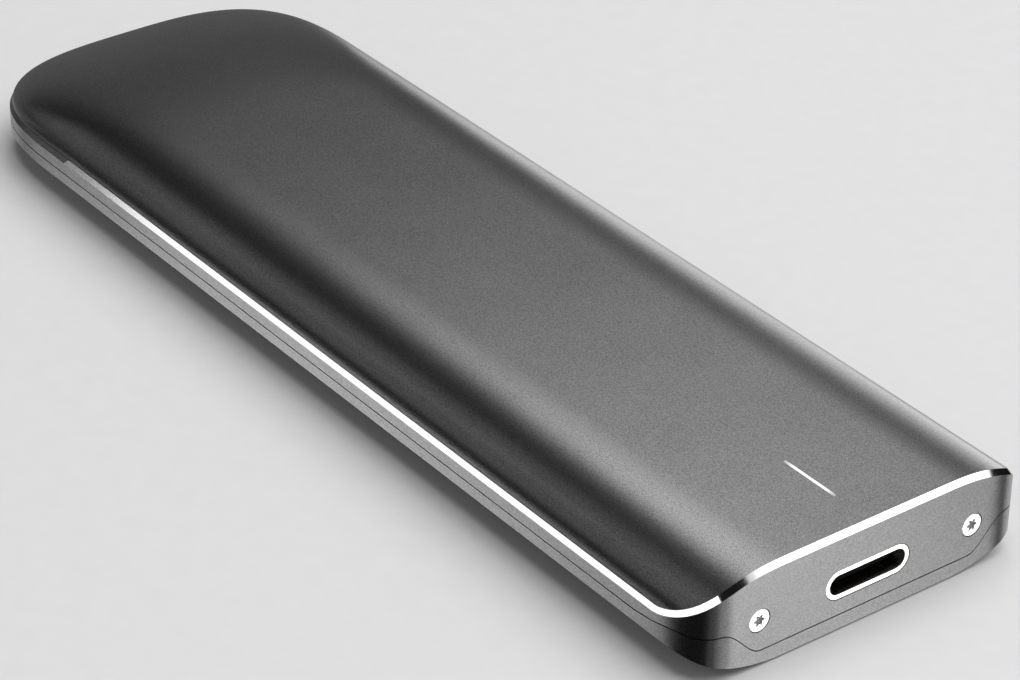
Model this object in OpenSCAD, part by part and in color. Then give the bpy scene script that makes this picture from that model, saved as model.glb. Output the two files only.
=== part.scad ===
// Portable solid state drive: two-part aluminium case, side-on USB-C socket
// in the end wall, bridge board and a plug-in M.2 flash module inside.
// Origin: centre of the flat underside. +X towards the socket, +Z up, mm.

/* [Case] */
// Overall length
body_l = 125; // [124:0.5:140]
// Overall width
body_w = 38; // [37:0.5:44]
// Overall height
body_h = 10.3; // [10.3:0.1:13]
// Thickness of the case sides, floor and ceiling
wall = 1.2; // [1:0.05:1.4]
// Thickness of the end wall that carries the socket
end_wall = 1.5; // [1.4:0.05:1.8]
// Bright bevel along the rim
rim_bevel = 0.5; // [0.3:0.05:0.6]
// Width of the parting groove
seam_gap = 0.12; // [0.08:0.01:0.2]

/* [Top surface] */
// Width of each rounded shoulder
shoulder_w = 9.7; // [9:0.1:10.5]
// Fullness of the shoulder (2 is an ellipse)
shoulder_n = 2.4; // [2.1:0.05:2.8]
// Length of the roll-off at the closed end
rolloff_l = 28; // [24:0.5:32]

/* [Socket end] */
// Height of the socket and screw centres above the underside
axis_z = 4.93; // [4.85:0.01:5.1]
// Spacing of the two end screws
screw_pitch = 24.6; // [24.2:0.1:25]
// End screw head diameter
end_head_d = 2.3; // [2.2:0.05:2.5]

/* [Indicator] */
// Slit length
slit_l = 6.8; // [5:0.1:7.2]
// Slit width
slit_w = 0.35; // [0.3:0.05:0.6]
// Distance from the socket end to the middle of the slit
slit_back = 8.2; // [8:0.1:8.6]

/* [Boards] */
// Bridge board length
board_l = 33.5; // [33:0.1:34]
// Bridge board width
board_w = 28; // [27:0.5:28.5]
// Bridge board thickness
board_t = 0.8; // [0.6:0.1:0.8]
// Flash module width
module_w = 22; // [21:0.5:22]

/* [Hidden] */
$fn = 48;
eps = 0.01;
half_w = body_w / 2;
port_x = body_l / 2;             // outer face of the socket end
far_x = -body_l / 2;             // tip of the closed end

// Plan of the case
corner_a = 6.4;                  // socket-end corner, along X
corner_b = 5.2;                  // socket-end corner, along Y
corner_n = 2.86;
far_a = 18.4;                    // closed-end curve, along X
far_a_top = 8.1;
far_n = 3.26;
far_n_top = 2.2;
rolloff_n = 0.92;

// Heights of the rim, the side bottom edge and the parting line
rim_z = axis_z + 0.1;
side_z = axis_z - 2.25;
belly_w = 9.6;                   // inset of the flat underside
belly_l = 19.4;
seam_side_z = axis_z - 1.0;
seam_low_z = axis_z - 3.15;
seam_ear_z = axis_z - 0.1;
seam_ear_y0 = half_w - 7;        // start of the S curve on the end wall
seam_ear_y1 = half_w - 2.8;
seam_ramp_x0 = port_x - 8.5;
seam_ramp_x1 = port_x - 2.5;

// Socket (standard USB-C receptacle)
port_w = 8.94;
port_h = 3.16;
port_t = 0.3;
port_d = 7.35;
port_front = port_x - 0.15;
port_back = port_front - port_d;
port_clear = 0.12;
tongue_w = 6.65;
tongue_t = 0.7;
tongue_tip = port_front - 0.75;
base_d = 2.6;
contact_pitch = 0.5;

// Heights of the boards
board_top = axis_z - port_h / 2;
board_bottom = board_top - board_t;
board_front = port_x - end_wall - 0.4;
board_back = board_front - board_l;
neck_l = 7;
neck_w = 18.4;
board_screw_x = board_front - 10.4;
board_screw_y = board_w / 2 - 2.6;
socket_d = 7;
socket_w = 23.4;
socket_h = 4.2;
socket_x = board_back + 0.4;     // open face of the module socket
module_t = 0.8;
tail_l = 0.9;                    // solder tails behind the module socket
tail_w = 0.22;
module_lift = 2.45;
module_z = board_top + module_lift;
module_in = 3.6;
module_x1 = socket_x + module_in;
tail_room = 13.6;                // closed end to the far edge of the module
module_x0 = far_x + tail_room;
module_l = module_x1 - module_x0;
notch_d = 3.5;
key_y = -6.1;
key_w = 1.2;

// Parts on the bridge board, set back from its front edge
chips_back = 16.2;
bridge_l = 9;
package_h = 0.9;
firmware_l = 5;
firmware_w = 4;
firmware_y = 8.4;
crystal_l = 3.2;
crystal_w = 2.5;
crystal_h = 0.8;
crystal_y = -7.6;
inductors_back = 22.8;
inductor_l = 3.6;
inductor_h = 1.8;
inductor_y = 8.6;
cap_l = 1.6;
cap_w = 0.8;
cap_pitch = 2;
caps_back = 9.6;
caps_y = 4.2;

// Parts on the flash module, set back from its edge in the socket
controller_l = 12;
controller_back = 17;
flash_l = 12;
flash_w = 18;
flash_pitch = 16;
flash_back = 32;
chip_h = 1.2;
chip_top = module_z + module_t + chip_h;
power_l = 4;
power_h = 0.8;
power_back = 7.4;
power_y = 6.5;
module_cap_pitch = 2.4;
module_caps_y = -7;
tail_caps_in = 6;                // from the far edge to the last row
tail_caps_pitch = 3.5;

// Thermal pad over the chips
ceiling_z = body_h - wall;
pad_over = 1.5;
pad_x0 = module_x1 - flash_back - flash_pitch - flash_l / 2 - pad_over;
pad_x1 = module_x1 - controller_back + controller_l / 2 + pad_over;
pad_w = flash_w;
pad_land = 0.1;
pad_clear = 0.5;
pad_top = ceiling_z + pad_land;

// Fixings
end_head_h = 0.8;
end_shank_d = 1.4;
end_shank_l = 4.4;
lug_w = 4.4;
lug_d = 5;
board_shank_d = 1.6;
board_head_d = 3;
board_head_h = 0.8;
boss_d = 4.4;
boss_floor_z = 1.1;
standoff_d = 5;
standoff_seat_z = 2.1;
standoff_spigot_d = 2.8;
module_shank_d = 2;
module_head_d = 4.4;
module_head_h = 0.8;
module_bite = 2.6;               // thread engagement in the standoff
thread_clear = 0.2;
hook_w = 4;
hook_y = 6;
lip_t = 0.8;
lip_clear = 0.1;
lip_up = 1.2;
lip_end_gap = 6;
lip_x0 = far_x + far_a + lip_end_gap;
lip_x1 = seam_ramp_x0 - lip_end_gap;

// ---- Outline and surface laws ----

// height of the shoulder curve, 0 at the rim and 1 on the flat top
function rise(u, n) = pow(1 - pow(1 - u, n), 1 / n);

// half outline (y >= 0) of one level of the case: socket-end corner, then the
// closed end; ix and iy are how far the corner is set in from the outside
function corner_x(y, ix, iy) =
    let (t = (y - (half_w - corner_b)) / (corner_b - iy))
    port_x - corner_a + (corner_a - ix) * (t <= 0 ? 1 : pow(1 - pow(min(t, 1), corner_n), 1 / corner_n));

function half_outline(hw, tip_x, a, n, ix, iy, steps = 11) = concat(
    hw <= half_w - corner_b ? [[port_x - ix, hw]] : concat(
        [[port_x - ix, half_w - corner_b]],
        [for (i = [1:steps]) let (y = half_w - corner_b + (corner_b - iy) * sin(90 * i / steps))
            if (y < hw - 0.05) [corner_x(y, ix, iy), y]],
        [[corner_x(hw, ix, iy), hw]]),
    [for (i = [steps + 1:-1:0]) let (s = 90 * i / (steps + 1))
        [tip_x + a - a * pow(cos(s), 2 / n), hw * pow(sin(s), 2 / n)]]);

// closed outline of one level
function outline(hw, tip_x, a, n, ix, iy) =
    let (h = half_outline(hw, tip_x, a, n, ix, iy))
    concat(h, [for (i = [len(h) - 2:-1:0]) [h[i][0], -h[i][1]]]);

// one level for a hull: its outline at height z, tapering off inwards
module level(points, z, up) {
    translate([0, 0, z]) mirror([0, 0, up ? 0 : 1]) linear_extrude(1, scale = 0.9) polygon(points);
}

// levels of the upper surface between heights z0 and z1, set in by d
module top_levels(d, ix, z0, z1) {
    reach = d < wall ? shoulder_w - d : shoulder_w;
    for (u = LEVELS)
        level(outline(
            half_w - d - u * reach,
            far_x + d + rolloff_l * pow(u, rolloff_n),
            far_a + (far_a_top - far_a) * u,
            far_n + (far_n_top - far_n) * u,
            ix, d), z0 + (z1 - z0) * rise(u, shoulder_n), false);
}

module belly_levels(d, ix, z0, z1) {
    for (u = BELLY)
        level(outline(half_w - d - u * belly_w, far_x + d + belly_l * u, far_a, far_n, ix, d),
              z0 + (z1 - z0) * pow(1 - u, 2), true);
}

LEVELS = [for (i = [0:14]) pow(i / 14, 1.7)];
BELLY = [0, 0.12, 0.25, 0.4, 0.55, 0.75, 1];

// the whole closed case, with the bevelled rim
module case_solid() {
    hull() {
        top_levels(rim_bevel, rim_bevel, rim_z + rim_bevel, body_h);
        top_levels(0, 0, rim_z, body_h - rim_bevel);
        belly_levels(0, 0, 0, side_z);
    }
}

// the room inside
module case_room() {
    hull() {
        top_levels(wall, end_wall, rim_z - 0.6, ceiling_z);
        belly_levels(wall, end_wall, wall, side_z + wall);
    }
}

// plan of the case at the rim, set in by d, as an upright prism
module plan_prism(d, z0, z1) {
    translate([0, 0, z0])
        linear_extrude(z1 - z0)
            polygon(outline(half_w - d, far_x + d, far_a, far_n, d, d));
}

function ease(t) = let (c = min(max(t, 0), 1)) c * c * (3 - 2 * c);

// everything below the parting line, lowered by d
module below_seam(d = 0) {
    ear_y = [for (i = [0:14]) seam_ear_y0 + (seam_ear_y1 - seam_ear_y0) * i / 14];
    ear = [for (y = ear_y) [y, seam_low_z + (seam_ear_z - seam_low_z)
                                * ease((y - seam_ear_y0) / (seam_ear_y1 - seam_ear_y0))]];
    last = len(ear) - 1;
    ramp = [for (i = [0:10]) let (t = i / 10)
        [seam_ramp_x0 + (seam_ramp_x1 - seam_ramp_x0) * t,
         seam_side_z + (seam_ear_z - seam_side_z) * ease(t)]];
    translate([0, 0, -d]) {
        translate([far_x - 1, -half_w - 1, -2])
            cube([seam_ramp_x0 - far_x + 1, body_w + 2, seam_side_z + 2]);
        intersection() {
            translate([seam_ramp_x0 - eps, 0, 0])
                rotate([90, 0, 90])
                    linear_extrude(port_x - seam_ramp_x0 + 1)
                        polygon(concat(
                            [[half_w + 1, -2], [half_w + 1, seam_ear_z]],
                            [for (i = [last:-1:0]) ear[i]],
                            [for (p = ear) [-p[0], p[1]]],
                            [[-half_w - 1, seam_ear_z], [-half_w - 1, -2]]));
            translate([0, half_w + 1, 0])
                rotate([90, 0, 0])
                    linear_extrude(body_w + 2)
                        polygon(concat(
                            [[seam_ramp_x0 - eps, -2], [seam_ramp_x0 - eps, seam_side_z]],
                            ramp,
                            [[port_x + 1, seam_ear_z], [port_x + 1, -2]]));
        }
    }
}

// ---- Small shapes used more than once ----

module slot_2d(w, h) {
    square([w - h, h], center = true);
    for (s = [-1, 1]) translate([s * (w - h) / 2, 0]) circle(d = h);
}

// slot shape lying across Y, running from x0 to x1 at the socket height
module slot_x(w, h, x0, x1) {
    translate([x0, 0, axis_z])
        rotate([90, 0, 90])
            linear_extrude(x1 - x0) slot_2d(w, h);
}

module block(x, y, z, l, w, h) {
    translate([x - l / 2, y - w / 2, z]) cube([l, w, h]);
}

// screw standing on z = 0, shank down, with a six-lobe recess
module lobe_screw(head_d, head_h, shank_d, shank_l) {
    r = head_d * 0.22;
    difference() {
        union() {
            cylinder(d = head_d, h = head_h);
            translate([0, 0, -shank_l]) cylinder(d = shank_d, h = shank_l + eps);
        }
        translate([0, 0, head_h * 0.4]) {
            cylinder(r = r * 0.75, h = head_h);
            for (a = [0:60:300]) rotate(a) translate([r * 0.72, 0, 0]) cylinder(r = r * 0.3, h = head_h);
        }
    }
}

module end_screw_at() {
    for (s = [-1, 1])
        translate([port_x - 0.05 - end_head_h, s * screw_pitch / 2, axis_z])
            rotate([0, 90, 0]) children();
}

module board_screw_at() {
    for (s = [-1, 1]) translate([board_screw_x, s * board_screw_y, board_top]) children();
}

// ---- Case ----

module top_cover() {
    color("DimGray")
        difference() {
            case_solid();
            case_room();
            below_seam();
            // land for the thermal pad
            translate([pad_x0 - pad_clear, -pad_w / 2 - pad_clear, chip_top])
                cube([pad_x1 - pad_x0 + 2 * pad_clear, pad_w + 2 * pad_clear, pad_top - chip_top]);
            // socket opening
            slot_x(port_w + 2 * port_clear, port_h + 2 * port_clear, port_x - end_wall - 1, port_x + 1);
            // indicator slit
            block(port_x - slit_back, 0, ceiling_z - 1, slit_l, slit_w, wall + 2);
            // end screws: head and shank
            end_screw_at() {
                cylinder(d = end_head_d + 0.1, h = end_head_h + 1);
                translate([0, 0, -2]) cylinder(d = end_shank_d + 0.2, h = 3);
            }
            // pockets for the hooks of the bottom cover
            for (s = [-1, 1])
                block(far_x + wall, s * hook_y, seam_side_z + 0.3, 1.4, hook_w + 0.4, 1.3);
        }
}

module bottom_cover() {
    color("SlateGray")
        difference() {
            union() {
                intersection() {
                    difference() {
                        case_solid();
                        case_room();
                    }
                    below_seam();
                }
                // long lips that stand up inside the top cover
                for (s = [-1, 1])
                    translate([lip_x0, s * (half_w - wall - lip_clear - lip_t / 2) - lip_t / 2,
                        side_z + 0.4])
                        cube([lip_x1 - lip_x0, lip_t, seam_side_z - side_z - 0.4 + lip_up]);
                // lugs behind the end wall
                for (s = [-1, 1])
                    translate([port_x - end_wall - lug_d, s * screw_pitch / 2 - lug_w / 2, wall * 0.75])
                        cube([lug_d, lug_w, axis_z + 2 - wall * 0.75]);
                // bosses under the bridge board
                for (s = [-1, 1])
                    translate([board_screw_x, s * board_screw_y, wall * 0.6])
                        cylinder(d = boss_d, h = board_bottom - wall * 0.6);
                // seat of the module standoff
                translate([module_x0, 0, wall * 0.7])
                    cylinder(d = standoff_d + 2, h = standoff_seat_z - wall * 0.7);
                // hooks at the closed end
                for (s = [-1, 1]) {
                    block(far_x + wall + 0.6, s * hook_y, wall + 1.2,
                        1, hook_w, seam_side_z + 1.4 - wall - 1.2);
                    block(far_x + wall + 0.3, s * hook_y, seam_side_z + 0.5, 1.4, hook_w, 0.9);
                }
            }
            // parting groove
            difference() {
                below_seam();
                below_seam(seam_gap);
                plan_prism(0.3, -3, body_h);
            }
            // threads
            end_screw_at()
                translate([0, 0, -end_shank_l - thread_clear])
                    cylinder(d = end_shank_d, h = end_shank_l + thread_clear);
            for (s = [-1, 1])
                translate([board_screw_x, s * board_screw_y, boss_floor_z])
                    cylinder(d = board_shank_d, h = 5);
            translate([module_x0, 0, wall * 0.8]) cylinder(d = standoff_spigot_d, h = 5);
        }
}

module end_screws() {
    color("Silver") end_screw_at() lobe_screw(end_head_d, end_head_h, end_shank_d, end_shank_l);
}

// ---- Socket ----

module usb_shell() {
    tab_x = [port_back + 1.2, port_front - 3];
    color("LightGray") {
        difference() {
            slot_x(port_w, port_h, port_back, port_front);
            slot_x(port_w - 2 * port_t, port_h - 2 * port_t, port_back - 1, port_front + 1);
        }
        // legs through the board
        for (x = tab_x, s = [-1, 1])
            translate([x - 0.5, s * (port_w / 2 - port_t / 2) - port_t / 2, board_bottom + 0.1])
                cube([1, port_t, axis_z - board_bottom - 0.1]);
    }
}

module usb_tongue() {
    color("Black") {
        slot_x(port_w - 2 * port_t, port_h - 2 * port_t, port_back, port_back + base_d);
        translate([port_back + base_d - eps, -tongue_w / 2, axis_z - tongue_t / 2])
            cube([tongue_tip - port_back - base_d + eps, tongue_w, tongue_t]);
    }
}

module usb_contacts() {
    lane = [for (i = [0:11]) (i - 5.5) * contact_pitch];
    color("Gold") {
        for (y = lane, s = [-1, 1])
            translate([port_back + base_d, y - 0.125,
                axis_z + (s > 0 ? tongue_t / 2 : -tongue_t / 2 - 0.06)])
                cube([tongue_tip - port_back - base_d - 0.5, 0.25, 0.06]);
        // tails soldered behind the shell
        for (y = lane)
            translate([port_back - 1.1, y - 0.125, board_top]) cube([1.1, 0.25, 0.45]);
    }
}

// ---- Indicator ----

module light_pipe() {
    x = port_x - slit_back;
    foot_x = x - slit_l / 2 + 1.3;
    color("White") {
        block(x, 0, ceiling_z - eps, slit_l, slit_w, wall + eps);
        block(x, 0, ceiling_z - 1.1, slit_l, 1.6, 1.1);
        block(foot_x, 0, board_top + 1, 2.6, 1.6, ceiling_z - 1.1 - board_top - 1 + eps);
    }
}

module activity_led() {
    foot_x = port_x - slit_back - slit_l / 2 + 1.3;
    color("Ivory") {
        block(foot_x, 0, board_top, 1.6, 0.8, 0.3);
        block(foot_x, 0, board_top + 0.3 - eps, 1, 0.8, 0.4);
    }
}

// ---- Bridge board ----

module bridge_board() {
    color("DarkGreen")
        difference() {
            translate([0, 0, board_bottom])
                linear_extrude(board_t) {
                    translate([board_back, -board_w / 2]) square([board_l - neck_l, board_w]);
                    translate([board_front - neck_l - eps, -neck_w / 2]) square([neck_l + eps, neck_w]);
                }
            board_screw_at() translate([0, 0, -board_t - 1])
                cylinder(d = board_shank_d + 0.2, h = board_t + 2);
            // slots for the legs of the socket shell
            for (x = [port_back + 1.2, port_front - 3], s = [-1, 1])
                block(x, s * (port_w / 2 - port_t / 2), board_bottom - 1, 1.1, port_t + 0.1, board_t + 2);
        }
}

module bridge_chip() {
    color([0.1, 0.1, 0.1]) block(board_front - chips_back, 0, board_top, bridge_l, bridge_l, package_h);
}

module firmware_chip() {
    color([0.12, 0.12, 0.12])
        block(board_front - chips_back, firmware_y, board_top, firmware_l, firmware_w, package_h);
}

module crystal() {
    color("Silver") block(board_front - chips_back, crystal_y, board_top, crystal_l, crystal_w, crystal_h);
}

module power_inductors() {
    color([0.25, 0.25, 0.27])
        for (s = [-1, 1])
            block(board_front - inductors_back, s * inductor_y, board_top,
                inductor_l, inductor_l, inductor_h);
}

module board_capacitors() {
    color("Tan")
        for (s = [-1, 1], i = [0, 1]) {
            block(board_front - inductors_back,
                s * (inductor_y - inductor_l / 2 - cap_w - 0.4 - i * cap_pitch),
                board_top, cap_l, cap_w, cap_w);
            block(board_front - caps_back, s * (caps_y + i * cap_pitch), board_top, cap_l, cap_w, cap_w);
        }
}

module board_screws() {
    color("Silver") board_screw_at()
        lobe_screw(board_head_d, board_head_h, board_shank_d, board_top - boss_floor_z - thread_clear);
}

module module_socket() {
    color([0.15, 0.15, 0.15])
        difference() {
            translate([socket_x, -socket_w / 2, board_top]) cube([socket_d, socket_w, socket_h]);
            difference() {
                translate([socket_x - 1, -module_w / 2 - 0.1, module_z])
                    cube([module_in + 1.1, module_w + 0.2, module_t + 0.1]);
                block(socket_x + module_in / 2, key_y, module_z - 1,
                    module_in + 1, key_w - 0.2, module_t + 2);
            }
        }
}

module socket_contacts() {
    color("Gold")
        for (i = [0:36]) let (y = (i - 18) * 0.5)
            if (abs(y - key_y) > 1)
                translate([socket_x + socket_d, y - tail_w / 2, board_top]) cube([tail_l, tail_w, tail_w]);
}

// ---- Flash module ----

module module_board() {
    color("DarkGreen")
        difference() {
            translate([module_x0, -module_w / 2, module_z]) cube([module_l, module_w, module_t]);
            block(module_x1 - module_in / 2 + 0.5, key_y, module_z - 1, module_in + 1, key_w, module_t + 2);
            translate([module_x0, 0, module_z - 1]) cylinder(d = notch_d, h = module_t + 2);
        }
}

module module_controller() {
    color([0.1, 0.1, 0.1])
        block(module_x1 - controller_back, 0, module_z + module_t, controller_l, controller_l, chip_h);
}

module flash_chips() {
    color([0.08, 0.08, 0.08])
        for (i = [0, 1])
            block(module_x1 - flash_back - flash_pitch * i, 0, module_z + module_t,
                flash_l, flash_w, chip_h);
}

module module_power_chip() {
    color([0.12, 0.12, 0.12])
        block(module_x1 - power_back, power_y, module_z + module_t, power_l, power_l, power_h);
}

module module_capacitors() {
    spots = concat(
        [for (i = [0:4]) [module_x1 - power_back, module_caps_y + module_cap_pitch * i]],
        [for (i = [-2:2]) [module_x0 + tail_caps_in, tail_caps_pitch * i]],
        [for (i = [-2, -1, 1, 2]) [module_x0 + tail_caps_in + tail_caps_pitch, tail_caps_pitch * i]]);
    color("Tan") for (p = spots) block(p[0], p[1], module_z + module_t, cap_l, cap_w, cap_w);
}

module thermal_pad() {
    color([0.55, 0.6, 0.75])
        translate([pad_x0, -pad_w / 2, chip_top]) cube([pad_x1 - pad_x0, pad_w, pad_top - chip_top]);
}

module module_standoff() {
    color("Goldenrod")
        translate([module_x0, 0, 0])
            difference() {
                union() {
                    translate([0, 0, standoff_seat_z])
                        cylinder(d = standoff_d, h = module_z - standoff_seat_z);
                    translate([0, 0, wall * 0.8 + 0.1])
                        cylinder(d = standoff_spigot_d, h = standoff_seat_z - wall * 0.8);
                }
                translate([0, 0, module_z - module_bite - thread_clear])
                    cylinder(d = module_shank_d, h = module_bite + thread_clear + 1);
            }
}

module module_screw() {
    color("Silver")
        translate([module_x0, 0, module_z + module_t])
            lobe_screw(module_head_d, module_head_h, module_shank_d, module_t + module_bite);
}

// ---- Drawing ----

top_cover();
bottom_cover();
end_screws();
usb_shell();
usb_tongue();
usb_contacts();
light_pipe();
activity_led();
bridge_board();
bridge_chip();
firmware_chip();
crystal();
power_inductors();
board_capacitors();
board_screws();
module_socket();
socket_contacts();
module_board();
module_controller();
flash_chips();
module_power_chip();
module_capacitors();
module_standoff();
module_screw();
thermal_pad();
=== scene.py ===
# %% [markdown]
# # A portable solid state drive, dressed
#
# The drive is a slim two-part aluminium case with a USB-C socket in its
# flat end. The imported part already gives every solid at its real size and
# place. This lesson keeps those solids and builds the pieces that the eye
# rests on with finer shapes: the two covers, the two end screws, the socket
# shell and its tongue. Then every piece gets a finish made of nodes.

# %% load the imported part
import math

import bmesh
import bpy
import numpy as np
from mathutils import Matrix, Vector


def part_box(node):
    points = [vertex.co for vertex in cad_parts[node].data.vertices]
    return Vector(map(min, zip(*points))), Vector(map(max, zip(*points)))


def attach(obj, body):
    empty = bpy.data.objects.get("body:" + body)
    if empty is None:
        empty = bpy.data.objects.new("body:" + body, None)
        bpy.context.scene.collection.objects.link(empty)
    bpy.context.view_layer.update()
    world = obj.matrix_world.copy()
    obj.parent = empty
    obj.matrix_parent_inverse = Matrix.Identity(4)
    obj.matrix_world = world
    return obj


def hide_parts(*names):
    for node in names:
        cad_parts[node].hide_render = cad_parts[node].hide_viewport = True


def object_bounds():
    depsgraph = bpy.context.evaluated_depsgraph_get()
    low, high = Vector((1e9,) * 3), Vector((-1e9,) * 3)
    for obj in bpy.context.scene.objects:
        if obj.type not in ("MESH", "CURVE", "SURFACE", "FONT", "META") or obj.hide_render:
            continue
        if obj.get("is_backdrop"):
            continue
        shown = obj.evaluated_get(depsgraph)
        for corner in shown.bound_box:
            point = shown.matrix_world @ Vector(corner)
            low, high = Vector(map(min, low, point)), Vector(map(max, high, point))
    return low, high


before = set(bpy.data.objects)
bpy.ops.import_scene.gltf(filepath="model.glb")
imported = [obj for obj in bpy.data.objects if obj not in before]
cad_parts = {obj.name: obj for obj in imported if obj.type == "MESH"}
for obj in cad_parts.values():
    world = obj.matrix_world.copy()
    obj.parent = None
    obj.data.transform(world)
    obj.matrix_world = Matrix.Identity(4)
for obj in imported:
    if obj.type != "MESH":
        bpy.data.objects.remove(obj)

MM = 0.001
low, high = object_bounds()
print("case", [round(c / MM, 2) for c in high - low], "mm,", len(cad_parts), "nodes")

# %% [markdown]
# ## One grid, bent onto a surface
#
# The covers, the socket shell and the screw heads are all surfaces that can
# be written as rows of points. So one helper makes a flat grid with a bmesh
# operator and then moves each vertex to its point. The rows meet along
# shared edges, and merging by distance sews them together afterwards.

# %% lay a grid on rows of points
# The second slot takes a paler copy of the anodised finish. This is painted light: the walls are
# paler than the dome only because they mirror the bright floor.
BODY, WALL = 0, 1                # material slots; only the top cover's wall has the second


def sheet(bm, rows, slot=BODY):
    """rows[j][i] is where row j, column i of a grid goes, in millimetres."""
    up, across = len(rows) - 1, len(rows[0]) - 1
    made = bmesh.ops.create_grid(bm, x_segments=across, y_segments=up, size=1)["verts"]
    span_x, span_y = (max(v.co[k] for v in made) for k in (0, 1))
    for v in made:
        i = round((v.co.x / span_x + 1) / 2 * across)
        j = round((v.co.y / span_y + 1) / 2 * up)
        v.co = rows[j][i]
    for f in {f for v in made for f in v.link_faces}:
        f.material_index, f.smooth = slot, True


def loop_edges(bm, points):
    """A closed loop of edges through points."""
    verts = [bm.verts.new(p) for p in points]
    return [bm.edges.new((verts[i], verts[(i + 1) % len(verts)])) for i in range(len(verts))]


def panel(bm, loops, normal, slot=BODY):
    """A flat face with holes: the first loop is its outside, the others its holes."""
    edges = [e for points in loops for e in loop_edges(bm, points)]
    made = bmesh.ops.triangle_fill(bm, use_beauty=True, edges=edges, normal=normal)["geom"]
    for f in made:
        if isinstance(f, bmesh.types.BMFace):
            f.material_index, f.smooth = slot, False


def finish_piece(bm, name, materials, outward, merge=0.004, crease=32):
    """Sews, orients and scales a mesh, marks its sharp edges and hands it to the frame."""
    bmesh.ops.remove_doubles(bm, verts=bm.verts, dist=merge)
    bmesh.ops.recalc_face_normals(bm, faces=bm.faces)
    point, direction = outward
    nearest = min(bm.faces, key=lambda f: (f.calc_center_median() - Vector(point)).length)
    if nearest.normal.dot(Vector(direction)) < 0:
        bmesh.ops.reverse_faces(bm, faces=bm.faces)
    for e in bm.edges:
        turned = len(e.link_faces) == 2 and e.calc_face_angle(0) > math.radians(crease)
        slots = {f.material_index for f in e.link_faces}
        e.smooth = not (turned or len(slots) > 1 or len(e.link_faces) == 1)
    bmesh.ops.scale(bm, vec=(MM, MM, MM), verts=bm.verts)
    mesh = bpy.data.meshes.new(name)
    bm.to_mesh(mesh)
    bm.free()
    piece = bpy.data.objects.new(name, mesh)
    bpy.context.scene.collection.objects.link(piece)
    for m in materials:
        mesh.materials.append(m)
    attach(piece, "root")
    print(name, len(mesh.vertices), "vertices,", len(mesh.polygons), "faces")
    return piece


# %% [markdown]
# ## Shader maths as plain expressions
#
# A finish is easier to read as `bump = fine * 0.6 + coarse * 0.4` than as a
# web of Math nodes. The class below wraps a socket and overloads the
# arithmetic signs, and one method adds any other node.

# %% wrap a material's nodes
class Value:
    """A socket that can be added, subtracted and multiplied like a number."""

    def __init__(self, finish, socket):
        self.finish, self.socket = finish, socket

    def _math(self, operation, a, b):
        return self.finish.node("ShaderNodeMath", {"operation": operation}, {0: a, 1: b})

    def __add__(self, other):
        return self._math("ADD", self, other)

    def __radd__(self, other):
        return self._math("ADD", other, self)

    def __sub__(self, other):
        return self._math("SUBTRACT", self, other)

    def __rsub__(self, other):
        return self._math("SUBTRACT", other, self)

    def __mul__(self, other):
        return self._math("MULTIPLY", self, other)

    def __rmul__(self, other):
        return self._math("MULTIPLY", other, self)


class Finish:
    """A material under construction."""

    def __init__(self, name):
        self.material = bpy.data.materials.new(name)
        self.material.use_nodes = True
        self.tree = self.material.node_tree
        self.shader = self.tree.nodes["Principled BSDF"]
        self.place = self.node("ShaderNodeTexCoord", output="Object")

    def node(self, kind, settings=None, inputs=None, output=0):
        """Adds one node: its settings first, then the values or links of its sockets."""
        made = self.tree.nodes.new(kind)
        for key, value in (settings or {}).items():
            if key == "stops":
                ramp = made.color_ramp.elements
                while len(ramp) < len(value):
                    ramp.new(0.5)
                for stop, (where, colour) in zip(ramp, value):
                    stop.position, stop.color = where, (*colour, 1)
            else:
                setattr(made, key, value)
        for key, value in (inputs or {}).items():
            self.feed(made.inputs[key], value)
        return Value(self, made.outputs[output])

    def feed(self, socket, value):
        if isinstance(value, Value):
            self.tree.links.new(value.socket, socket)
        else:
            socket.default_value = value

    def set(self, **inputs):
        """Feeds the shader; underscores stand for the spaces in a socket's name."""
        for key, value in inputs.items():
            self.feed(self.shader.inputs[key.replace("_", " ")], value)
        return self

    def noise(self, per_mm, detail=2.0, roughness=0.5, stretch=(1, 1, 1)):
        """Noise between 0 and 1 with per_mm lumps to the millimetre."""
        at = self.node("ShaderNodeMapping", {}, {"Vector": self.place, "Scale": stretch}, "Vector")
        return self.node("ShaderNodeTexNoise", {}, {
            "Vector": at, "Scale": per_mm / MM, "Detail": detail, "Roughness": roughness}, "Fac")

    def mix(self, share, a, b):
        """A colour between a and b."""
        def rgba(c):
            return c if isinstance(c, Value) else (*c, 1)
        return self.node("ShaderNodeMix", {"data_type": "RGBA"},
                         {"Factor": share, 6: rgba(a), 7: rgba(b)}, 2)

    def bump(self, height, strength, depth_mm):
        return self.node("ShaderNodeBump", {}, {
            "Height": height, "Strength": strength, "Distance": depth_mm * MM}, "Normal")

    def ramp(self, value, low_stop, high_stop):
        """Stretches value so that low_stop becomes 0 and high_stop becomes 1."""
        return self.node("ShaderNodeMapRange", {}, {
            "Value": value, "From Min": low_stop, "From Max": high_stop}, "Result")

# %% [markdown]
# ## The finishes of the case
#
# The covers are bead-blasted and anodised: a metal that is rough at a tenth
# of a millimetre, so a light spreads into a soft band with a fine sparkle
# in it. The grain is noise at that size in the colour, the roughness and
# the bump. Its scale is no round number: at 10 per millimetre the flat top
# would lie on a whole number of the noise, where noise is always even.
# The rim is cut afterwards with a diamond tool, through the anodised skin,
# so it is bare bright metal with faint tool lines.

# %% blasted aluminium
GRAIN_PER_MM, CLOUD_PER_MM = 9.35, 0.09


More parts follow.
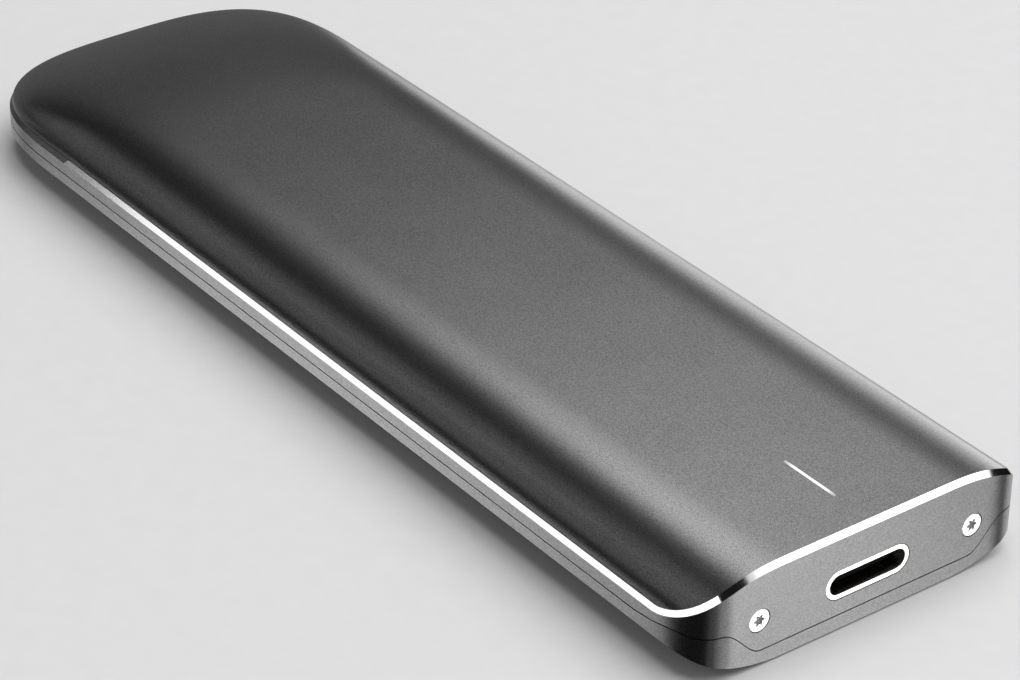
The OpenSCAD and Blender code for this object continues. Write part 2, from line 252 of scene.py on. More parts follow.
def blasted(name, dark, light, roughness):
    f = Finish(name)
    grain = f.noise(GRAIN_PER_MM, detail=1.0, roughness=0.6)
    cloud = f.noise(CLOUD_PER_MM, detail=2.0)
    tone = f.ramp(grain * 0.9 + cloud * 0.1, 0.36, 0.64)
    f.set(Base_Color=f.mix(tone, dark, light), Metallic=1.0,
          Roughness=f.ramp(grain, 0.0, 1.0) * 0.08 + (roughness - 0.04),
          Normal=f.bump(grain, 0.4, 0.02))
    return f.material


anodised_top = blasted("anodised_top", (0.27, 0.27, 0.27), (0.53, 0.53, 0.53), 0.3)
# The paler copy of the same blasted anodised metal below is painted light. It is for the walls,
# which look paler than the dome because they mirror the bright floor, and it also covers the whole
# bottom cover.
anodised_base = blasted("anodised_base", (0.38, 0.38, 0.38), (0.62, 0.62, 0.62), 0.3)


# %% the diamond-cut rim
def cut_rim():
    f = Finish("cut_rim")
    lines = f.noise(9.0, detail=1.0, stretch=(0.15, 1, 1))
    f.set(Base_Color=f.mix(f.ramp(lines, 0.3, 0.7), (0.86, 0.86, 0.87), (0.95, 0.95, 0.95)),
          Metallic=1.0, Roughness=lines * 0.02 + 0.09)
    return f.material


bright_rim = cut_rim()
print("case finishes made")

# %% [markdown]
# ## The shape of the case
#
# The plan is a rectangle whose socket end has two superellipse corners and
# whose closed end is one long superellipse. Going up from the rim the plan
# shrinks: its width by a shoulder, and its closed end by a long roll-off.
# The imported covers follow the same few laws. Three exponents differ a little
# here: the socket end's corners are squarer, and the closed end's wall is
# rounder and its roll-off flatter.

# %% sizes of the case, in millimetres
PORT_X, HALF_W, TOP_Z, FAR_X = high.x / MM, high.y / MM, high.z / MM, low.x / MM
AXIS_Z = 4.93                    # height of the socket and the screws
RIM_Z = AXIS_Z + 0.1
SIDE_Z = AXIS_Z - 2.25           # bottom edge of the side wall
RIM_SIDE, RIM_END = 0.4, 0.45    # how far the cut rim is set in
DROP_SIDE, DROP_END = 0.4, 0.52  # and how far it drops
DROP_START, DROP_RUN = 4.0, 5.0  # how far from the side it starts to grow, and over what length
DOME_Z = RIM_Z + 0.5             # where the dome starts, above the rim
SHOULDER_W, SHOULDER_N = 9.7, 2.4
CORNER_A, CORNER_B, CORNER_N = 6.4, 5.2, 3.5
FAR_A, FAR_A_TOP, FAR_N, FAR_N_TOP = 18.4, 8.1, 3.26, 2.2
WALL_N = 3.1                     # the wall rounds the closed end a little more than the dome
ROLL_L, ROLL_N = 28.0, 0.85
BELLY_W, BELLY_L = 9.6, 19.4
SEAM_GAP = 0.12
EDGE_IN, EDGE_UP = 0.3, 0.2      # small bevel along the bottom edge of the wall
FLAT_Y = HALF_W - CORNER_B       # half width of the flat end face


def rise(u, n):
    """Height of a superellipse arc, 0 at u = 0 and 1 at u = 1."""
    return (1 - (1 - u) ** n) ** (1 / n)


def ease(t):
    """A soft step from 0 to 1."""
    t = np.clip(t, 0, 1)
    return t * t * (3 - 2 * t)


def corner_x(y, in_x=0.0, in_y=0.0):
    """X of the socket end's outline at y, set in by in_x and in_y."""
    t = (y - FLAT_Y) / (CORNER_B - in_y)
    return PORT_X - CORNER_A + (CORNER_A - in_x) * (
        1 - np.clip(t, 0, 1) ** CORNER_N) ** (1 / CORNER_N)


def evenly(points, count):
    """The same polyline with count + 1 points at equal steps along it."""
    points = np.array(points, float)
    steps = np.linalg.norm(np.diff(points, axis=0), axis=1)
    along = np.concatenate([[0], np.cumsum(steps)])
    wanted = np.linspace(0, along[-1], count + 1)
    return np.stack([np.interp(wanted, along, points[:, k]) for k in range(points.shape[1])], 1)


SIDE_STEPS, END_STEPS = 44, 56
print("rim", round(RIM_Z, 2), "mm up, wall down to", round(SIDE_Z, 2))


def side_and_end(start_x, hw, tip_x, a, n):
    """Half of a plan: along the side from start_x, then round the closed end to y = 0."""
    side = [(start_x + (tip_x + a - start_x) * k / SIDE_STEPS, hw) for k in range(SIDE_STEPS)]
    angle = np.linspace(math.pi / 2, 0, 1200)
    c, s = np.cos(angle), np.sin(angle)
    r = (np.abs(c) ** n + np.abs(s) ** n) ** (-1 / n)
    end = evenly(np.stack([tip_x + a - a * r * c, hw * r * s], 1), END_STEPS)
    return np.concatenate([side, end])


def mirrored(half):
    """The half plan and its mirror image, in one run from +y round to -y."""
    return np.concatenate([half, (half * [1, -1, 1])[-2::-1]])


# %% [markdown]
# ## The top cover
#
# Its dome is a grid whose rows are the plans at rising heights, open towards
# the socket end. The rows start close together, because the shoulder rises
# steeply from the rim. The wall below it is a second grid round the outside,
# and the cut rim is the strip between the two: it drops less along the
# sides than over the end face, so its outer edge is worked out on the
# unrolled wall, at right angles to the edge that it cuts. Round the closed
# end the same strip is left uncut, so there it belongs to this cover.

# %% levels of the dome
SPLIT = (HALF_W - RIM_SIDE - FLAT_Y) / (SHOULDER_W - RIM_SIDE)   # level where the corner ends
LOW_STEPS, HIGH_STEPS, FLAT_STEPS = 44, 18, 8
levels = np.concatenate([SPLIT * (np.arange(LOW_STEPS) / LOW_STEPS) ** SHOULDER_N,
                         SPLIT + (1 - SPLIT) * np.arange(HIGH_STEPS + 1) / HIGH_STEPS])


def dome_level(u):
    hw = HALF_W - RIM_SIDE - u * (SHOULDER_W - RIM_SIDE)
    z = DOME_Z + (TOP_Z - DOME_Z) * rise(u, SHOULDER_N)
    half = side_and_end(corner_x(hw, RIM_END, RIM_SIDE), hw,
                        FAR_X + RIM_SIDE + ROLL_L * u ** ROLL_N,
                        FAR_A + (FAR_A_TOP - FAR_A) * u, FAR_N + (FAR_N_TOP - FAR_N) * u)
    return mirrored(np.column_stack([half, np.full(len(half), z)]))


dome = [dome_level(u) for u in levels]
print("dome", len(dome), "levels of", len(dome[0]), "points")

# %% the two edges of the cut rim
deck_y = dome[-1][0][1]                                    # half width of the flat top
flat = [(PORT_X - RIM_END, deck_y * k / FLAT_STEPS, TOP_Z) for k in range(FLAT_STEPS)]
arch = [row[0] for row in dome[:0:-1]]
inner = np.array([*flat, *arch, *dome[0][:SIDE_STEPS + END_STEPS + 1]])


def outer_wall(p, in_y):
    """The point of the outer wall that faces a point of a wall set in by in_y."""
    x, y, _ = p
    t = (y - FLAT_Y) / (CORNER_B - in_y)
    y = FLAT_Y + CORNER_B * t if t > 0 else y
    return corner_x(y), y


rim_side = side_and_end(PORT_X - CORNER_A, HALF_W, FAR_X, FAR_A, WALL_N)
wall_plan = np.concatenate([[outer_wall(p, RIM_SIDE) for p in inner[:-len(rim_side)]], rim_side])
along = np.concatenate([[0], np.cumsum(np.linalg.norm(np.diff(wall_plan, axis=0), axis=1))])
slope = np.gradient(inner[:, 2], along)
run, drop = 1 / np.hypot(1, slope), slope / np.hypot(1, slope)
from_side = along[len(flat) + len(arch)] - along
depth = DROP_SIDE + (DROP_END - DROP_SIDE) * ease((from_side - DROP_START) / DROP_RUN)
shifted = along + depth * drop
outer = np.column_stack([np.interp(shifted, along, wall_plan[:, k]) for k in (0, 1)]
                        + [inner[:, 2] - depth * run])
outer[0, 1] = outer[-1, 1] = 0   # both ends lie exactly on the middle plane
CUT_END = FAR_X + FAR_A + 4.0    # the diamond cut stops just before the closed end's curve
cut_stop = int(np.argmax((inner[:, 0] < CUT_END) & (inner[:, 1] > FLAT_Y)))
print("rim from z", round(outer[:, 2].min(), 2), "to", round(outer[:, 2].max(), 2))

# %% [markdown]
# The parting line runs level along the sides, lifts towards the corners and
# drops in an S to a low line across the end face.

# %% the parting line
SEAM_SIDE, SEAM_LOW, SEAM_EAR = AXIS_Z - 1.0, AXIS_Z - 3.15, AXIS_Z - 0.1
EAR_Y, EAR_W = HALF_W - 7.0, 4.2     # where the S on the end face starts, and how wide it is
LIFT_X, LIFT_L = PORT_X - 8.5, 6.0   # the same for the lift along the side


def seam(x, y):
    across = SEAM_LOW + (SEAM_EAR - SEAM_LOW) * ease((np.abs(y) - EAR_Y) / EAR_W)
    lengthwise = SEAM_SIDE + (SEAM_EAR - SEAM_SIDE) * ease((x - LIFT_X) / LIFT_L)
    return np.where(x < LIFT_X, SEAM_SIDE, np.minimum(across, lengthwise))


WALL_STEPS = 4


def wall_rows(top, bottom):
    """The wall's grid, from its top edge down to its bottom edge."""
    return [top + (bottom - top) * k / WALL_STEPS for k in range(WALL_STEPS + 1)]


print("parting line", [round(float(seam(PORT_X, y)), 2) for y in (0, EAR_Y, HALF_W)], "mm up")

# %% holes of the end face and the deck
screw_low, screw_high = (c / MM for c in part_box("end_screws"))
HEAD_R = (screw_high.z - screw_low.z) / 2
SCREW_Y = screw_high.y - HEAD_R
shell_low, shell_high = (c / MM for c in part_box("usb_shell"))
SHELL_W, SHELL_H = shell_high.y - shell_low.y, 2 * (shell_high.z - AXIS_Z)
MOUTH, OPENING = (9.64, 3.02), (8.68, 2.0)   # outside and inside of the socket's lip
LIP_GAP, HEAD_GAP = 0.06, 0.05   # gaps round the lip and round a screw head
pipe_low, pipe_high = (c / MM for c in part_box("light_pipe"))
SLIT_X, SLIT_L, SLIT_W = (pipe_low.x + pipe_high.x) / 2, pipe_high.x - pipe_low.x, 0.26
print("screws at y", round(SCREW_Y, 2), "radius", round(HEAD_R, 2), "slit", round(SLIT_L, 2), "long")


def slot_points(w, h, x, steps=20):
    """A slot outline across Y with round ends, at the socket's height."""
    half = np.linspace(-math.pi / 2, math.pi / 2, steps + 1)
    right = [(x, (w - h) / 2 + h / 2 * math.cos(a), AXIS_Z + h / 2 * math.sin(a)) for a in half]
    left = [(x, -(w - h) / 2 - h / 2 * math.cos(a), AXIS_Z - h / 2 * math.sin(a)) for a in half]
    return right + left


def circle_points(r, x, y, z, steps=56):
    turn = np.linspace(0, 2 * math.pi, steps, endpoint=False)
    return [(x, y + r * math.cos(a), z + r * math.sin(a)) for a in turn]


def flat_outline(row, x, z):
    """A plan's outermost row, closed by a straight line of points across the socket end."""
    front = np.linspace(row[-1][1], row[0][1], 2 * FLAT_STEPS + 1)[1:-1]
    return [tuple(p) for p in row] + [(x, y, z) for y in front]


# %% build the top cover
bm = bmesh.new()
sheet(bm, dome)
deck = flat_outline(dome[-1], PORT_X - RIM_END, TOP_Z)
slit = [(SLIT_X + sx * SLIT_L / 2, sy * SLIT_W / 2, TOP_Z)
        for sx, sy in ((1, 1), (-1, 1), (-1, -1), (1, -1))]
panel(bm, [deck, slit], (0, 0, 1))

lower = outer.copy()
lower[:, 2] = seam(outer[:, 0], outer[:, 1])
split = int(np.argmax(outer[:, 1] > FLAT_Y)) - 1           # last point on the flat end face
rows = wall_rows(outer[split:], lower[split:])
sheet(bm, [mirrored(r) for r in rows], WALL)
edge = [r[0] for r in rows]
face = [*outer[:split], *edge, *lower[:split][::-1]]
face += [p * [1, -1, 1] for p in [*lower[1:split], *edge[::-1], *outer[1:split][::-1]]]
holes = [slot_points(MOUTH[0] + 2 * LIP_GAP, MOUTH[1] + 2 * LIP_GAP, PORT_X),
         *[circle_points(HEAD_R + HEAD_GAP, PORT_X, s * SCREW_Y, AXIS_Z) for s in (1, -1)]]
panel(bm, [face, *holes], (1, 0, 0), WALL)
sheet(bm, [mirrored(inner[cut_stop:]), mirrored(outer[cut_stop:])])   # uncut rim, anodised
# Its wall and end face take the painted paler copy of the anodised finish.
top_cover = finish_piece(bm, "top_cover_shell",
                         [anodised_top, anodised_base], ((0, 0, TOP_Z), (0, 0, 1)))
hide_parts("top_cover")


# %% give a cover its wall
COVER_T, RIM_T = 0.9, 0.5


def thicken(piece, wall_mm):
    """Thickens a skin inwards, so its outside stays where it is."""
    made = piece.modifiers.new("wall", "SOLIDIFY")
    made.thickness, made.offset = wall_mm * MM, -1


thicken(top_cover, COVER_T)

# %% [markdown]
# The cut rim is one strip between the dome and the wall, from one side over
# the end face to the other side. The tool leaves the metal a little before
# the closed end's curve, and the strip beyond keeps its anodised skin, as
# part of the top cover. The cut is kept as a piece of its own, because bare
# metal mirrors its lamps where the blasted skin beside it stays dark.

# %% build the cut rim
def round_front(half):
    """The half run and its mirror image, in one run through the middle of the socket end."""
    return np.concatenate([(half * [1, -1, 1])[::-1], half[1:]])


bm = bmesh.new()
sheet(bm, [round_front(inner[:cut_stop + 1]), round_front(outer[:cut_stop + 1])])
rim = finish_piece(bm, "cut_rim", [bright_rim],
                   ((0, -HALF_W, RIM_Z), (0, -1, 1)))
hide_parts("top_cover")
thicken(rim, RIM_T)

# %% [markdown]
# ## The bottom cover
#
# Below the parting line the wall goes straight down to an edge, and the
# belly runs in from there as a shallow parabola to the flat underside. At
# the socket end the belly is cut off square.

# %% build the bottom cover
BELLY_STEPS, CORNER_STEPS = 30, 12
BELLY_Z = SIDE_Z - EDGE_UP
belly_levels = np.arange(BELLY_STEPS + 1) / BELLY_STEPS


def belly_level(u):
    hw = HALF_W - EDGE_IN - u * (BELLY_W - EDGE_IN)
    half = side_and_end(corner_x(hw, EDGE_IN, EDGE_IN), hw,
                        FAR_X + EDGE_IN + (BELLY_L - EDGE_IN) * u, FAR_A, WALL_N)
    return mirrored(np.column_stack([half, np.full(len(half), BELLY_Z * (1 - u) ** 2)]))


corner_levels = CORNER_B / BELLY_W * (np.arange(1, CORNER_STEPS) / CORNER_STEPS) ** 2.4
fine = np.sort(np.concatenate([belly_levels, corner_levels]))
belly = [belly_level(u) for u in fine]
foot_y = belly[-1][0][1]
foot = [(PORT_X - EDGE_IN, foot_y * k / FLAT_STEPS, 0) for k in range(FLAT_STEPS)]
belly_edge = np.array([*foot, *[row[0] for row in belly[:0:-1]],
                       *belly[0][:SIDE_STEPS + END_STEPS + 1]])
edge_plan = np.concatenate([[outer_wall(p, EDGE_IN) for p in belly_edge[:-len(rim_side)]],
                            rim_side])
bottom_edge = np.column_stack([edge_plan, belly_edge[:, 2] + EDGE_UP])
bottom_top = bottom_edge.copy()
bottom_top[:, 2] = seam(bottom_edge[:, 0], bottom_edge[:, 1]) - SEAM_GAP

bm = bmesh.new()
sheet(bm, belly)
panel(bm, [flat_outline(belly[-1], PORT_X - EDGE_IN, 0)], (0, 0, -1))
sheet(bm, [mirrored(r) for r in wall_rows(bottom_top, bottom_edge)])
sheet(bm, [mirrored(bottom_edge), mirrored(belly_edge)])
# The whole bottom cover takes the painted paler copy of the anodised finish.
bottom_cover = finish_piece(bm, "bottom_cover_shell",
                            [anodised_base], ((0, 0, 0), (0, 0, -1)))
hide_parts("bottom_cover")
thicken(bottom_cover, COVER_T)

# %% [markdown]
# ## The socket
#
# The shell is drawn from thin steel, so its mouth is rounded. It is a grid
# whose rows follow the wall's section: inside, round the lip, outside. The
# tongue is a small board standing in the middle, with its gold contacts
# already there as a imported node.

# %% steel, plastic and gold
def steel(name, tone, roughness, per_mm=7.0):
    f = Finish(name)
    marks = f.noise(per_mm, detail=2.0, stretch=(0.3, 1, 1))
    f.set(Base_Color=f.mix(marks, [c * 0.93 for c in tone], tone), Metallic=1.0,
          Roughness=marks * 0.1 + roughness)
    return f.material


def plastic(name, tone, roughness=0.45, lift=1.35, per_mm=5.0, shine=0.5):
    f = Finish(name)
    skin = f.noise(per_mm, detail=2.0)
    f.set(Base_Color=f.mix(skin, tone, [min(1, c * lift) for c in tone]),
          Roughness=skin * 0.15 + roughness, Specular_IOR_Level=shine,
          Normal=f.bump(skin, 0.2, 0.02))
    return f.material


socket_steel = steel("socket_steel", (0.88, 0.88, 0.87), 0.16)
socket_plastic = plastic("socket_plastic", (0.003, 0.003, 0.0035), 0.5, shine=0.12)


# %% build the socket shell
SHELL_FRONT, SHELL_BACK, SHELL_T = PORT_X - 0.03, shell_low.x, 0.3
LIP_ROUND, LIP_D = 0.03, 0.6     # radius of the mouth's edges, depth of the lip
LIP_BACK = SHELL_FRONT - LIP_D
INSIDE = SHELL_W - 2 * SHELL_T, SHELL_H - 2 * SHELL_T
quarter = np.linspace(0, math.pi / 2, 4)
bm = bmesh.new()
# each row: width, height, what both grow by, x
section = [(*INSIDE, 0, SHELL_BACK + 0.2), (*INSIDE, 0, LIP_BACK - 0.3), (*OPENING, 0, LIP_BACK)]
for a in quarter:
    back = LIP_ROUND * (1 - math.sin(a))
    section.append((*OPENING, 2 * LIP_ROUND * (1 - math.cos(a)), SHELL_FRONT - back))
section += [(*OPENING, 4 * LIP_ROUND, SHELL_FRONT), (*MOUTH, -4 * LIP_ROUND, SHELL_FRONT)]
for a in quarter:
    back = LIP_ROUND * (1 - math.cos(a))
    section.append((*MOUTH, -2 * LIP_ROUND * (1 - math.sin(a)), SHELL_FRONT - back))
section += [(*MOUTH, 0, LIP_BACK), (SHELL_W, SHELL_H, 0, LIP_BACK - 0.1),
            (SHELL_W, SHELL_H, 0, SHELL_BACK), (*INSIDE, 0, SHELL_BACK + 0.2)]
shell_rows = []
for w, h, grow, x in section:
    points = slot_points(w + grow, h + grow, x)
    shell_rows.append(points + points[:1])
sheet(bm, shell_rows)
socket_shell = finish_piece(bm, "socket_shell", [socket_steel],
                            ((SHELL_FRONT - 3, SHELL_W / 2, AXIS_Z), (0, 1, 0)), merge=0.002)
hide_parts("usb_shell")

# %% build the tongue
tongue_low, tongue_high = (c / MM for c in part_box("usb_tongue"))
TONGUE_W, TONGUE_T, BASE_D = 6.65, 0.7, 2.6
EAR_IN, EAR_OUT, EAR_H = 3.15, 4.1, 0.75     # the base's two ends, from the axis


def rounded_box(bm, lo, hi, radius, segments=2):
    """A box between two corners with its edges rounded."""
    lo, hi = Vector(lo), Vector(hi)
    made = bmesh.ops.create_cube(bm, size=1)["verts"]
    bmesh.ops.scale(bm, vec=hi - lo, verts=made)
    bmesh.ops.translate(bm, vec=(lo + hi) / 2, verts=made)
    edges = list({e for v in made for e in v.link_edges})
    bmesh.ops.bevel(bm, geom=edges, offset=radius, offset_type="OFFSET",
                    affect="EDGES", segments=segments, profile=0.5, material=-1)


bm = bmesh.new()
base_back, base_front = tongue_low.x, tongue_low.x + BASE_D
base_y, base_z = SHELL_W / 2 - SHELL_T - SHELL_H / 2, SHELL_H / 2 - SHELL_T
rounded_box(bm, (base_front - 0.1, -TONGUE_W / 2, AXIS_Z - TONGUE_T / 2),
            (tongue_high.x, TONGUE_W / 2, AXIS_Z + TONGUE_T / 2), 0.16, 3)
rounded_box(bm, (base_back, -base_y, AXIS_Z - base_z),
            (base_front, base_y, AXIS_Z + base_z), 0.05)
for near, far in ((EAR_IN, EAR_OUT), (-EAR_OUT, -EAR_IN)):
    rounded_box(bm, (base_back, near, AXIS_Z - EAR_H), (base_front, far, AXIS_Z + EAR_H), 0.1)
tongue = finish_piece(bm, "socket_tongue", [socket_plastic],
                      ((tongue_high.x, 0, AXIS_Z), (1, 0, 0)), merge=0.0005)
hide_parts("usb_tongue")

# %% [markdown]
# ## The end screws
#
# Each is a small flat head with a six-lobe drive. The face is again a grid:
# its rings are round at the rim and lobed at the recess, where the radius
# follows a cosine with six waves.

# %% build the end screws
screw_steel = steel("screw_steel", (0.9, 0.9, 0.9), 0.2)
HEAD_H, FACE_X, HUB_R = 0.8, screw_high.x, 0.02
HEAD_EDGE = 0.06                 # bevel round the head
LOBE_R, LOBE_WAVE, RECESS = 0.5, 0.24, 0.5


def ring(r, x, y, wave=0.0, steps=96):
    """A closed ring round a screw's axis; wave is the share by which its six lobes stand out."""
    turn = np.linspace(0, 2 * math.pi, steps + 1)
    radius = r * (1 + wave * np.cos(6 * turn))
    return np.column_stack([np.full(steps + 1, x), y + radius * np.cos(turn),
                            AXIS_Z + radius * np.sin(turn)])


bm = bmesh.new()
for s in (1, -1):
    y = s * SCREW_Y
    rows = [ring(HUB_R, FACE_X - HEAD_H, y), ring(HEAD_R - 0.05, FACE_X - HEAD_H, y),
            ring(HEAD_R, FACE_X - HEAD_H + 0.05, y), ring(HEAD_R, FACE_X - HEAD_EDGE, y),
            ring(HEAD_R - HEAD_EDGE, FACE_X, y), ring(HEAD_R - 0.3, FACE_X, y),
            ring(LOBE_R + 0.16, FACE_X, y, LOBE_WAVE * 0.5), ring(LOBE_R, FACE_X, y, LOBE_WAVE),
            ring(LOBE_R - 0.02, FACE_X - 0.03, y, LOBE_WAVE),
            ring(LOBE_R - 0.02, FACE_X - RECESS, y, LOBE_WAVE),
            ring(HUB_R, FACE_X - RECESS - 0.1, y)]
    sheet(bm, rows)
end_screws = finish_piece(bm, "end_screw_heads", [screw_steel],
                          ((FACE_X, SCREW_Y + 0.8, AXIS_Z), (1, 0, 0)), merge=0.0005, crease=25)
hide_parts("end_screws")

# %% [markdown]
# ## The pieces inside
#
# The boards, chips and fixings keep their imported solids and only need their
# finishes, which are looked up by each node's name.

# %% finishes of the inner pieces
def board(name):
    f = Finish(name)
    warp = f.noise(2.0, detail=1.0, stretch=(1, 0.2, 1))
    weft = f.noise(2.0, detail=1.0, stretch=(0.2, 1, 1))
    weave = warp * 0.5 + weft * 0.5
    dark, light = (0.004, 0.035, 0.018), (0.008, 0.06, 0.03)
    f.set(Base_Color=f.mix(f.ramp(weave, 0.35, 0.65), dark, light),
          Roughness=weave * 0.2 + 0.3, Normal=f.bump(weave, 0.2, 0.02))
    return f.material


finishes = {
    "board_laminate": board("board_laminate"),
    "chip_black": plastic("chip_black", (0.012, 0.012, 0.013), 0.5),
    "can_steel": steel("can_steel", (0.75, 0.75, 0.74), 0.25),
    "ferrite": plastic("ferrite", (0.045, 0.046, 0.05), 0.55),
    "ceramic_tan": plastic("ceramic_tan", (0.45, 0.3, 0.16), 0.4, 1.2),
    "brass_plain": steel("brass_plain", (0.8, 0.6, 0.3), 0.25),
    "pad_silicone": plastic("pad_silicone", (0.25, 0.3, 0.42), 0.65, 1.15),
    "gold_plate": steel("gold_plate", (1.0, 0.72, 0.3), 0.18),
    "led_body": plastic("led_body", (0.75, 0.72, 0.62), 0.4, 1.1),
    "anodised_top": anodised_top, "anodised_base": anodised_base,
    "screw_steel": screw_steel, "socket_steel": socket_steel, "socket_plastic": socket_plastic,
}


GLOW_FADE = 1.2                  # how far the glow fades towards each end of the slit


def light_guide():
    f = Finish("diffuser")
    haze = f.noise(3.0, detail=2.0)
    x = f.node("ShaderNodeSeparateXYZ", {}, {"Vector": f.place}, "X")
    off_centre = f.node("ShaderNodeMath", {"operation": "ABSOLUTE"}, {0: x - SLIT_X * MM})
    glow = f.ramp(off_centre, SLIT_L / 2 * MM, SLIT_L / 2 * MM - GLOW_FADE * MM)
    f.set(Base_Color=f.mix(haze, (0.85, 0.86, 0.87), (0.95, 0.95, 0.95)),
          Roughness=haze * 0.2 + 0.35, Emission_Color=f.mix(glow, (0.1, 0.1, 0.1), (1, 1, 1)),
          Emission_Strength=0.9)
    return f.material


finishes["diffuser"] = light_guide()
print(len(finishes), "finishes ready")

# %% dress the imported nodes
node_finish = {
    "top_cover": "anodised_top", "bottom_cover": "anodised_base", "end_screws": "screw_steel",
    "usb_shell": "socket_steel", "usb_tongue": "socket_plastic", "usb_contacts": "gold_plate",
    "light_pipe": "diffuser", "activity_led": "led_body", "bridge_board": "board_laminate",
    "bridge_chip": "chip_black", "firmware_chip": "chip_black", "crystal": "can_steel",
    "power_inductors": "ferrite", "board_capacitors": "ceramic_tan",
    "board_screws": "screw_steel", "module_socket": "socket_plastic",
    "socket_contacts": "gold_plate", "module_board": "board_laminate",
    "module_controller": "chip_black", "flash_chips": "chip_black",
    "module_power_chip": "chip_black", "module_capacitors": "ceramic_tan",
    "module_standoff": "brass_plain", "module_screw": "screw_steel",
    "thermal_pad": "pad_silicone",
}
for name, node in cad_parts.items():
    node.data.materials.clear()
    node.data.materials.append(finishes[node_finish[name]])
print(len(node_finish), "packed nodes dressed")

# %% [markdown]
# ## The set
#
# A pale floor and soft lights, as for a product picture. Metal shows what
# is round it more than it shows its own colour, so the lamps are placed by
# what each part of the case mirrors.

# %% floor
floor_mesh = bpy.data.meshes.new("floor")
bm = bmesh.new()
bmesh.ops.create_grid(bm, x_segments=2, y_segments=2, size=4)
bm.to_mesh(floor_mesh)
bm.free()
floor = bpy.data.objects.new("floor", floor_mesh)
bpy.context.scene.collection.objects.link(floor)
floor_finish = Finish("floor_paper")
paper = floor_finish.noise(0.4, detail=3.0)
floor_finish.set(Base_Color=floor_finish.mix(paper, (0.66, 0.66, 0.66), (0.70, 0.70, 0.70)),
                 Roughness=0.8)
floor_mesh.materials.append(floor_finish.material)
floor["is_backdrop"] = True
print("floor laid")


# %% lamps
def softbox(name, azimuth, height, spread, brightness, only=None, away=0.8):
    """A round lamp on a sphere round the drive, spread degrees in radius, aimed at it."""
    a, h = math.radians(azimuth), math.radians(height)
    lamp = bpy.data.lights.new(name, "AREA")
    lamp.shape, lamp.size = "DISK", 2 * away * math.tan(math.radians(spread))
    lamp.energy = brightness * math.pi * math.pi * lamp.size ** 2 / 4
    made = bpy.data.objects.new(name, lamp)
    made.location = (away * math.cos(h) * math.cos(a), away * math.cos(h) * math.sin(a),
                     away * math.sin(h))
    made.rotation_euler = (-Vector(made.location)).to_track_quat("-Z", "Y").to_euler()
    made.visible_camera = False
    if only:
        made.light_linking.receiver_collection = only
    bpy.context.scene.collection.objects.link(made)


# A lamp with not_rim in its row leaves the rim out, so that the rim is either
# bright, where its own lamps are, or dark.
not_rim = bpy.data.collections.new("not_rim")
not_rim.objects.link(rim)
not_rim.collection_objects[0].light_linking.link_state = "EXCLUDE"

# each row: name, azimuth, height and radius in degrees, brightness, and what it lights
for row in (
        ("left_low", -153, -38.9, 10.9, 1.64), ("far_side_level", 123.7, 0.8, 15.1, 1.17),
        ("end_low", 35, -30.6, 5.9, 2.62), ("far_side_high", 137.6, 50.6, 14.2, 1.43),
        ("end_level", 38.6, 16, 17.4, 0.39), ("zenith", 107.9, 86.7, 24.8, 0.36),
        ("end_wide", 63.9, 52.7, 30, 0.255), ("front_below", -0.6, -43.1, 21.6, 0.09),
        ("near_side", -123.1, 28.5, 34.5, 0.135, not_rim),
        ("overhead", -34.7, 64.7, 23.6, 0.135, not_rim),
        ("front", -15.1, 41.4, 21.3, 0.127, not_rim),
        ("closed_end", 165.7, -12.2, 35.2, 0.14, not_rim),
        ("near_strip", -139.3, 31.3, 4.5, 0.22, not_rim),
        ("end_high", 16.4, 44.1, 10.2, 0.53, not_rim),
        ("front_low", 15.9, -33.2, 9.6, 0.4),
        ("room_left", -85, 30, 22, 0.45, not_rim), ("room_front", -28, 28, 22, 0.45, not_rim),
        ("room_right", 32, 26, 22, 0.45, not_rim), ("room_far", 88, 36, 18, 0.4, not_rim),
        ("low_far_1", 80, -30, 13, 0.55), ("low_far_2", 108, -30, 15, 0.55),
        ("low_far_3", 140, -32, 15, 0.35), ("low_closed_end", 176, -32, 14, 0.3),
        ("side_low", -155, -32, 6, 0.25), ("side_level", -151, -10, 5, 0.2, not_rim),
        ("far_side_port", 114, -2, 9, 0.7, not_rim)):
    softbox(*row)
print(len(bpy.data.lights), "lamps for the case")

# %% [markdown]
# The floor and the cut rim have lamps of their own. Each is linked to one
# collection, so it lights nothing else: the paper stays pale and the rim
# white without washing out the dark dome.

# %% lamps for the floor and for the rim
floor_only = bpy.data.collections.new("floor_only")
floor_only.objects.link(floor)
rim_only = bpy.data.collections.new("rim_only")
rim_only.objects.link(rim)
softbox("floor_light", 60, 70, 35, 2.3, floor_only, 1.5)

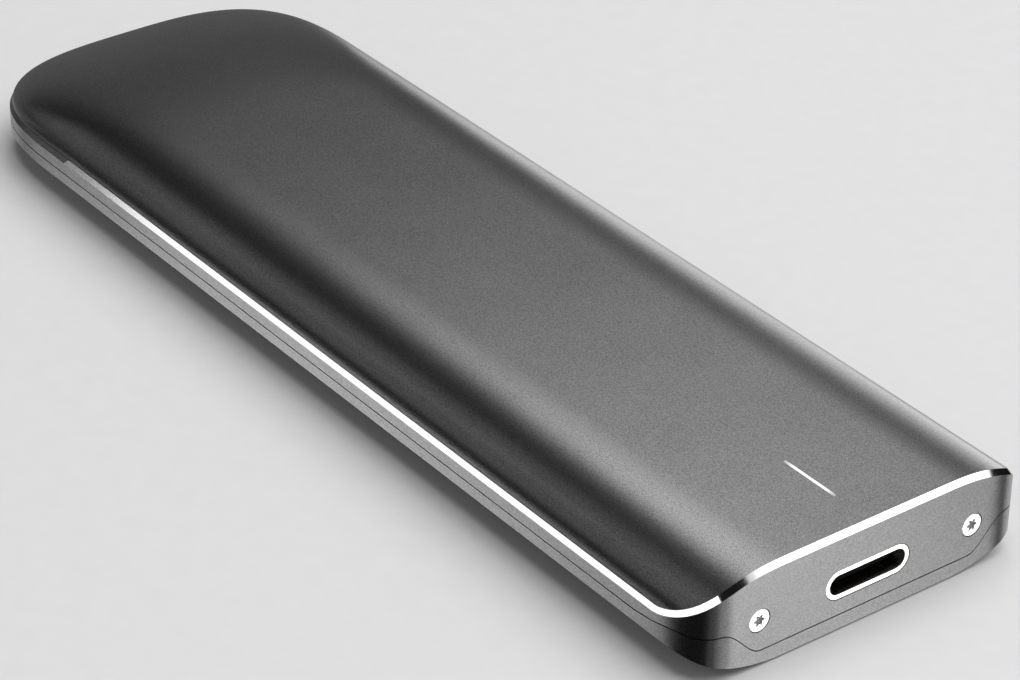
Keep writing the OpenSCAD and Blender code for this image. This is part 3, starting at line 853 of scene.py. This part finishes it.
# The steel of the screws and the socket's mouth faces a lamp of its own too.
steel_only = bpy.data.collections.new("steel_only")
for piece in (end_screws, socket_shell):
    steel_only.objects.link(piece)
for k, azimuth in enumerate((36, -5, -45)):
    softbox(f"steel_light_{k + 1}", azimuth, -31, 15, 1.1, steel_only)
for row in (
        ("rim_side", -139.3, 29.6, 8.6, 1.2), ("rim_corner_1", -147.3, 12.4, 10.7, 1.3),
        ("rim_corner_2", -129.5, 20, 10.5, 1.3), ("rim_corner_3", -110.5, 30, 11.5, 1.3),
        ("rim_corner_4", -88, 39, 12, 1.3), ("rim_corner_5", -60, 45, 12.5, 1.3),
        ("rim_end", 41.5, 28.6, 15.5, 0.6), ("rim_end_wide", 40.3, 29.4, 18.5, 0.75),
        ("rim_closed_end", -172, 14, 26, 0.045), ("rim_top", 0, 90, 33, 1.2),
        ("rim_far_side", 140, 28, 12, 1.2), ("rim_front", -38, 27, 8, 1.2)):
    softbox(*row, rim_only)
floor.visible_glossy = floor.visible_shadow = False
print(len(bpy.data.lights), "lamps in all")

# The room is pale where the camera sees it, and nearly dark in reflections.
ROOM_DARK, ROOM_PALE = 0.007, 0.8
world = bpy.data.worlds.new("room")
bpy.context.scene.world = world
world.use_nodes = True
room = world.node_tree
seen = room.nodes.new("ShaderNodeLightPath").outputs["Is Camera Ray"]
tone = room.nodes.new("ShaderNodeMix")
tone.data_type = "RGBA"
for socket, grey in ((6, ROOM_DARK), (7, ROOM_PALE)):
    tone.inputs[socket].default_value = (grey, grey, grey, 1)
room.links.new(seen, tone.inputs["Factor"])
room.links.new(tone.outputs[2], room.nodes["Background"].inputs["Color"])

# %% [markdown]
# ## The camera
#
# A long lens from above the near corner of the socket end.

# %% camera
lens = bpy.data.cameras.new("camera")
lens.lens, lens.sensor_width, lens.clip_start = 125.3, 36.0, 0.01
camera = bpy.data.objects.new("camera", lens)
# the camera's directions: to its right, down and ahead
right, down, ahead = (0.5977, 0.8017, 0.0101), (0.4234, -0.3049, -0.8531), (-0.6808, 0.5142, -0.5217)
stand = Vector((245.36, -177.38, 182.71)) * MM
turn = [(right[k], -down[k], -ahead[k], stand[k]) for k in range(3)]
camera.matrix_world = Matrix([*turn, (0, 0, 0, 1)])
bpy.context.scene.collection.objects.link(camera)
bpy.context.scene.camera = camera
bpy.context.scene.view_settings.view_transform = "Standard"
print("camera", round(stand.length / MM), "mm from the drive's middle")

# %% finish
low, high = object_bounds()
